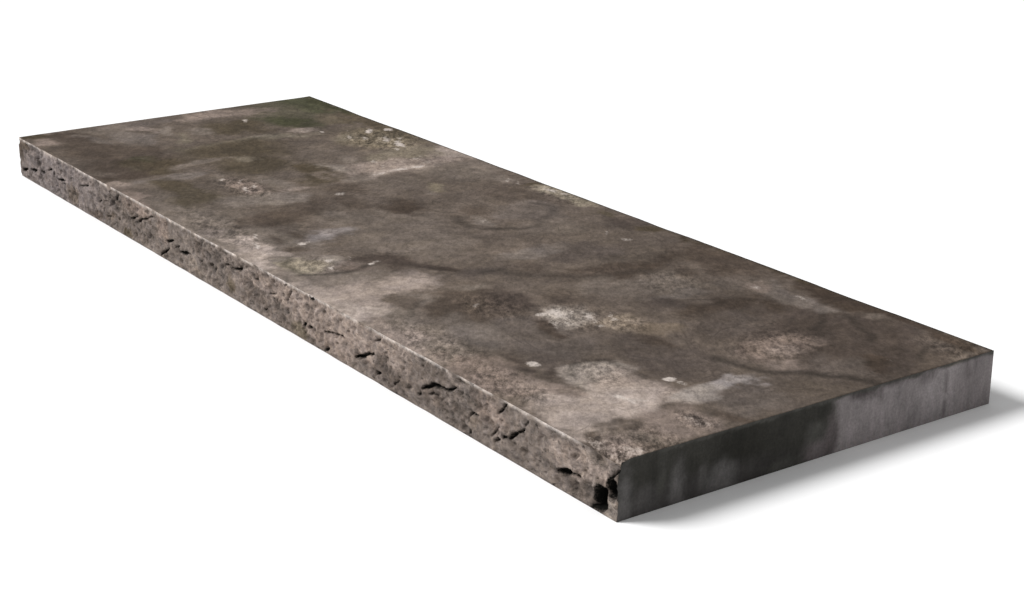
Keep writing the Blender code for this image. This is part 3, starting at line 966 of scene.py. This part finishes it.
# The pitched face, its noises first.
FACE_ROUGHNESS = 0.92
FACE_MOTTLE = (0.013, 6.0, 0.70)
FACE_GRIT = (0.0031, 5.0, 0.82)
FACE_PITS = (0.0040, 5.0, 0.80)
FACE_CRUMBS = (0.0030, 4.0, 0.8)
FACE_OCHRE = (0.011, 4.0, 0.7)
FACE_STRENGTHS = (0.30, 0.48)  # of the first two
FACE_DRAWN = (1.7, 1.0, 1.0)
FACE_CELLS = (0.0085, 0.012)  # the size of its cells, and how far they are warped
# Painted highlight on the face's ridges and painted shade in its hollows, from how far it stands
# proud.
RELIEF_HIGHLIGHT_AND_SHADE = (0.72, 1.16, 0.68, 1.24)
RELIEF_PAINT_RAGGED = 0.7  # share of the crumbs
# Painted highlight along the raised edges of the cells and painted shade in their middles.
CELL_HIGHLIGHT_AND_SHADE = (0.25, 0.85, 0.82, 1.26)
# Painted shade: small dark pits, which have no depth in the mesh or the bump.
PIT_SHADOW = (0.37, 0.42, 0.35, 1.0)
# Painted shade: where the face is near a crack or hole it turns near-black.
CRACK_SHADE_PAINTED = (0.88, 1.32)
CRACK_RAGGED = 1.3  # share of the crumbs
FACE_BUMP = 0.0028
CELL_BUMP = 0.7  # share of the cells

# The sawn sides: streaks, broad stains and fine grain.
SAWN_ROUGHNESS = 0.7
SAWN_STREAK = (0.0055, 4.0, 0.6)
SAWN_BROAD = (0.020, 6.0, 0.7)
SAWN_FINE = (0.0024, 3.0, 0.7)
SAWN_STRENGTHS = (0.07, 0.30, 0.18)
STREAK_DRAWN = (1.0, 1.0, 14.0)
BROAD_DRAWN = (1.0, 1.0, 1.8)
SAWN_BUMP = 0.00015


def node(tree, kind, inputs=(), **settings):
    """A new node with its settings, and with its inputs linked or set."""
    made = tree.nodes.new("ShaderNode" + kind)
    for name, value in settings.items():
        setattr(made, name, value)
    for name, value in dict(inputs).items():
        if isinstance(value, bpy.types.NodeSocket):
            tree.links.new(value, made.inputs[name])
        else:
            made.inputs[name].default_value = value
    return made


def noise_of(tree, size, detail, rough, warp=0.0, drawn=None, turn=0.0):
    """Noise of a size, 0 to 1, drawn out this many times along X, Y and Z, after a turn about Z
    in degrees."""
    place = node(tree, "TexCoord").outputs["Object"]
    if drawn:
        inputs = {"Vector": place, "Scale": drawn, "Rotation": (0.0, 0.0, math.radians(turn))}
        place = node(tree, "Mapping", inputs, vector_type="TEXTURE").outputs["Vector"]
    inputs = {"Vector": place, "Scale": 1.0 / size, "Detail": detail, "Roughness": rough}
    return node(tree, "TexNoise", {**inputs, "Distortion": warp}).outputs["Fac"]


def cells_of(tree, size, warp):
    """How far each place is from the middle of its cell, in cells that noise twice as large has
    warped."""
    place = node(tree, "TexCoord").outputs["Object"]
    inputs = {"Vector": place, "Scale": 0.5 / size, "Detail": 2.0}
    shift = scaled(tree, node(tree, "TexNoise", inputs).outputs["Color"], warp)
    place = node(tree, "VectorMath", {0: place, 1: shift}, operation="ADD").outputs["Vector"]
    return node(tree, "TexVoronoi", {"Vector": place, "Scale": 1.0 / size}).outputs["Distance"]


def between(tree, value, low, high, first=0.0, last=1.0):
    """A value remapped from low..high to first..last, and held there."""
    inputs = {"Value": value, "From Min": low, "From Max": high, "To Min": first, "To Max": last}
    return node(tree, "MapRange", inputs).outputs["Result"]


def maths(tree, operation, first, second=0.0):
    return node(tree, "Math", {0: first, 1: second}, operation=operation).outputs["Value"]


def added(tree, value, extra, share):
    """A value with a share of another added."""
    return maths(tree, "ADD", value, maths(tree, "MULTIPLY", extra, share))


def scaled(tree, colour, factor):
    """A colour or vector times a number."""
    made = node(tree, "VectorMath", {0: colour, "Scale": factor}, operation="SCALE")
    return made.outputs["Vector"]


def mixed(tree, factor, first, second):
    """The first colour, turning into the second as the factor goes from 0 to 1."""
    # A Mix node has sockets for each kind of data. These numbers are the colours'.
    made = node(tree, "Mix", {0: factor, 6: first, 7: second}, data_type="RGBA")
    return made.outputs[2]


def attribute(tree, name):
    """A colour that paint_stone wrote on the mesh."""
    return node(tree, "Attribute", attribute_name=name).outputs["Color"]


def finish(name, roughness):
    """A material with an empty Principled shader, and its node tree."""
    material = bpy.data.materials.new(name)
    material.use_nodes = True
    tree = material.node_tree
    shader = tree.nodes["Principled BSDF"]
    shader.inputs["Roughness"].default_value = roughness
    shader.inputs["Specular IOR Level"].default_value = GLOSS
    return material, tree, shader


def cover(tree, shader, colour, height, depth):
    """Give a shader its colour, and roughen it by a height of this depth in metres."""
    tree.links.new(colour, shader.inputs["Base Color"])
    made = node(tree, "Bump", {"Height": height, "Distance": depth, "Strength": 1.0})
    tree.links.new(made.outputs["Normal"], shader.inputs["Normal"])


def mottled(tree, colour, textures, strengths):
    """A colour made lighter and darker by noise of several sizes, each with its strength."""
    for texture, strength in zip(textures, strengths):
        shade = between(tree, texture, *NOISE_RANGE, 1.0 - strength, 1.0 + strength)
        colour = scaled(tree, colour, shade)
    return colour


def hued(tree, colour, texture, hue):
    """A colour that drifts towards another hue, as a multiplier, where the noise is high."""
    other = node(tree, "VectorMath", {0: colour, 1: hue}, operation="MULTIPLY")
    drift = between(tree, texture, *HUE_RANGE)
    return mixed(tree, drift, colour, other.outputs["Vector"])


def tide_marks(tree, mottle):
    """Faint broken contours left where damp dried, as a mask."""
    damp = maths(tree, "SUBTRACT", noise_of(tree, *TOP_DAMP), 0.5)
    line = between(tree, maths(tree, "ABSOLUTE", damp), *TIDE_LINE)
    return maths(tree, "MULTIPLY", line, between(tree, mottle, *TIDE_GAPS))


def riven_top():
    """Weathered brown-grey ground with cream fossils, dark lines and crumbling places."""
    material, tree, shader = finish("riven_top", TOP_ROUGHNESS)
    marks = node(tree, "SeparateColor", {"Color": attribute(tree, "marks")})
    flecks, veins, crumble = (marks.outputs[name] for name in ("Red", "Green", "Blue"))
    cloud, mottle = noise_of(tree, *TOP_CLOUD), noise_of(tree, *TOP_MOTTLE)
    grit, rubble, speck = (
        noise_of(tree, *sizes, drawn=TOP_DRAWN, turn=TOP_GRAIN_TURN)
        for sizes in (TOP_GRIT, TOP_RUBBLE, TOP_SPECK)
    )
    textures = (cloud, mottle, speck, grit)
    colour = mottled(tree, attribute(tree, "stain"), textures, TOP_STRENGTHS)
    colour = hued(tree, colour, noise_of(tree, *TOP_RUST), RUST)
    colour = mixed(tree, tide_marks(tree, mottle), colour, STAIN_AND_SHADE_BLACK)
    dark_stain_and_shade = between(tree, added(tree, veins, mottle, VEIN_RAGGED), *VEIN_SOOT)
    colour = mixed(tree, dark_stain_and_shade, colour, STAIN_AND_SHADE_BLACK)
    crumbs = between(tree, rubble, *CRUMB_SHADE)
    crumbled = maths(tree, "ADD", maths(tree, "MULTIPLY", crumbs, crumble), 1.0)
    colour = scaled(tree, colour, maths(tree, "MAXIMUM", crumbled, DARKEST_CRUMB))
    shell = scaled(tree, SHELL, between(tree, grit, *SHELL_SHADE))
    ragged = between(tree, added(tree, flecks, rubble, FLECK_RAGGED), *FLECK_EDGE)
    shown = maths(tree, "MULTIPLY", ragged, between(tree, flecks, *FLECK_SOLID))
    colour = mixed(tree, shown, colour, shell)
    rough = maths(tree, "MULTIPLY", rubble, maths(tree, "ADD", crumble, SOUND_RUBBLE))
    cover(tree, shader, colour, added(tree, rough, grit, GRIT_BUMP), TOP_BUMP)
    return material


def pitched_face():
    """Split stone: pale ridges and duller hollows of painted highlight and shade, fine pits and
    black cracks of painted shade.
    """
    material, tree, shader = finish("pitched_face", FACE_ROUGHNESS)
    marks = node(tree, "SeparateColor", {"Color": attribute(tree, "marks")})
    proud, crack = marks.outputs["Red"], marks.outputs["Green"]
    mottle, grit, pits = (
        noise_of(tree, *sizes, drawn=FACE_DRAWN) for sizes in (FACE_MOTTLE, FACE_GRIT, FACE_PITS)
    )
    cells, crumbs = cells_of(tree, *FACE_CELLS), noise_of(tree, *FACE_CRUMBS)
    colour = mottled(tree, attribute(tree, "stain"), (mottle, grit), FACE_STRENGTHS)
    colour = hued(tree, colour, noise_of(tree, *FACE_OCHRE), OCHRE)
    # Painted highlight on ridges and painted shade in hollows, from how far the face stands proud.
    painted_relief = added(tree, proud, crumbs, RELIEF_PAINT_RAGGED)
    colour = scaled(tree, colour, between(tree, painted_relief, *RELIEF_HIGHLIGHT_AND_SHADE))
    # Painted highlight on the raised cell edges and painted shade in the cell middles.
    colour = scaled(tree, colour, between(tree, cells, *CELL_HIGHLIGHT_AND_SHADE))
    # Painted shade of small pits.
    colour = scaled(tree, colour, between(tree, pits, *PIT_SHADOW))
    # Painted shade: cracks and holes turn near-black.
    dark_stain_and_shade = between(tree, added(tree, crack, crumbs, CRACK_RAGGED), *CRACK_SHADE_PAINTED)
    colour = mixed(tree, dark_stain_and_shade, colour, STAIN_AND_SHADE_BLACK)
    rough = maths(tree, "ADD", grit, mottle)
    cover(tree, shader, colour, added(tree, rough, cells, CELL_BUMP), FACE_BUMP)
    return material


def sawn_face():
    """Saw-cut stone: smooth, with faint upright streaks of saw marks and wash."""
    material, tree, shader = finish("sawn_face", SAWN_ROUGHNESS)
    streak = noise_of(tree, *SAWN_STREAK, drawn=STREAK_DRAWN)
    broad = noise_of(tree, *SAWN_BROAD, drawn=BROAD_DRAWN)
    fine = noise_of(tree, *SAWN_FINE)
    colour = mottled(tree, attribute(tree, "stain"), (streak, broad, fine), SAWN_STRENGTHS)
    cover(tree, shader, colour, maths(tree, "ADD", streak, fine), SAWN_BUMP)
    return material


# ---- the stone
def stone_piece():
    """The whole stone as one mesh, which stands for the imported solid."""
    block = sawn_block()
    block.verts.index_update()
    rest = np.array([vert.co[:] for vert in block.verts])
    for face in block.faces:
        middle = face.calc_center_median()
        if lies_on(middle.y, FRONT):
            face.material_index = PITCHED
        elif not lies_on(middle.z, THICKNESS):
            face.material_index = SAWN
        face.smooth = face.material_index != SAWN
    front = lies_on(rest[:, 1], FRONT)
    relief, near_crack, crack_depth = np.zeros((3, len(rest)))
    relief[front] = [face_relief(x, z) for x, _, z in rest[front]]
    near_crack[front], crack_depth[front] = crack_marks(*rest[front][:, [0, 2]].T * MM)
    shape_stone(block, relief, crack_depth)
    mesh = bpy.data.meshes.new("limestone_coping")
    block.to_mesh(mesh)
    block.free()
    paint_stone(mesh, rest, relief, near_crack)
    for material in (riven_top(), pitched_face(), sawn_face()):
        mesh.materials.append(material)
    stone = bpy.data.objects.new("limestone_coping", mesh)
    bpy.context.scene.collection.objects.link(stone)
    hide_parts(NODE)
    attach(stone, "root")


# ---- the studio
FLOOR_SIZE = 30.0
FLOOR_COLOUR = (0.93, 0.93, 0.93, 1.0)
FLOOR_ROUGHNESS = 0.9
FLOOR_GAP = 0.0002  # under the stone, so that the two faces don't lie in one plane
SKY_COLOUR = (1.0, 1.0, 1.0, 1.0)
SKY_STRENGTH = 0.42
KEY_FROM = (-2.2, -2.5, 3.2)
KEY_SPREAD = 25.0  # degrees across, as seen from the stone
KEY_STRENGTH = 3.6

# The camera: where it stands, its turn from +Y, its tilt down and its roll, in degrees.
CAMERA_PLACE = (1.5868, -1.0005, 0.6105)
CAMERA_TURN = -54.66
CAMERA_TILT = 19.015
CAMERA_ROLL = 0.299
CAMERA_LENS_MM = 64.19
SENSOR_MM = 36.0


def studio_floor():
    bpy.ops.mesh.primitive_plane_add(size=FLOOR_SIZE, location=(0.0, 0.0, -FLOOR_GAP))
    floor = bpy.context.object
    floor.name = "studio_floor"
    material, _, shader = finish("pale_floor", FLOOR_ROUGHNESS)
    shader.inputs["Base Color"].default_value = FLOOR_COLOUR
    floor.data.materials.append(material)


def studio_light():
    world = bpy.data.worlds.new("studio")
    world.use_nodes = True
    sky = world.node_tree.nodes["Background"]
    sky.inputs["Color"].default_value = SKY_COLOUR
    sky.inputs["Strength"].default_value = SKY_STRENGTH
    bpy.context.scene.world = world
    lamp = bpy.data.lights.new("key", "SUN")
    lamp.energy = KEY_STRENGTH
    lamp.angle = math.radians(KEY_SPREAD)
    key = bpy.data.objects.new("key", lamp)
    key.location = KEY_FROM
    key.rotation_euler = (-Vector(KEY_FROM)).to_track_quat("-Z", "Y").to_euler()
    bpy.context.scene.collection.objects.link(key)


def studio_camera():
    turn, tilt, roll = (math.radians(a) for a in (CAMERA_TURN, CAMERA_TILT, CAMERA_ROLL))
    heading = Matrix.Rotation(-turn, 4, "Z")
    lean = Matrix.Rotation(math.pi / 2 - tilt, 4, "X")
    camera = bpy.data.cameras.new("camera")
    camera.lens = CAMERA_LENS_MM
    camera.sensor_width = SENSOR_MM
    view = bpy.data.objects.new("camera", camera)
    view.matrix_world = (
        Matrix.Translation(CAMERA_PLACE) @ heading @ lean @ Matrix.Rotation(roll, 4, "Z")
    )
    bpy.context.scene.collection.objects.link(view)
    bpy.context.scene.camera = view
    bpy.context.scene.view_settings.view_transform = "Standard"


studio_camera()
stone_piece()
studio_floor()
studio_light()
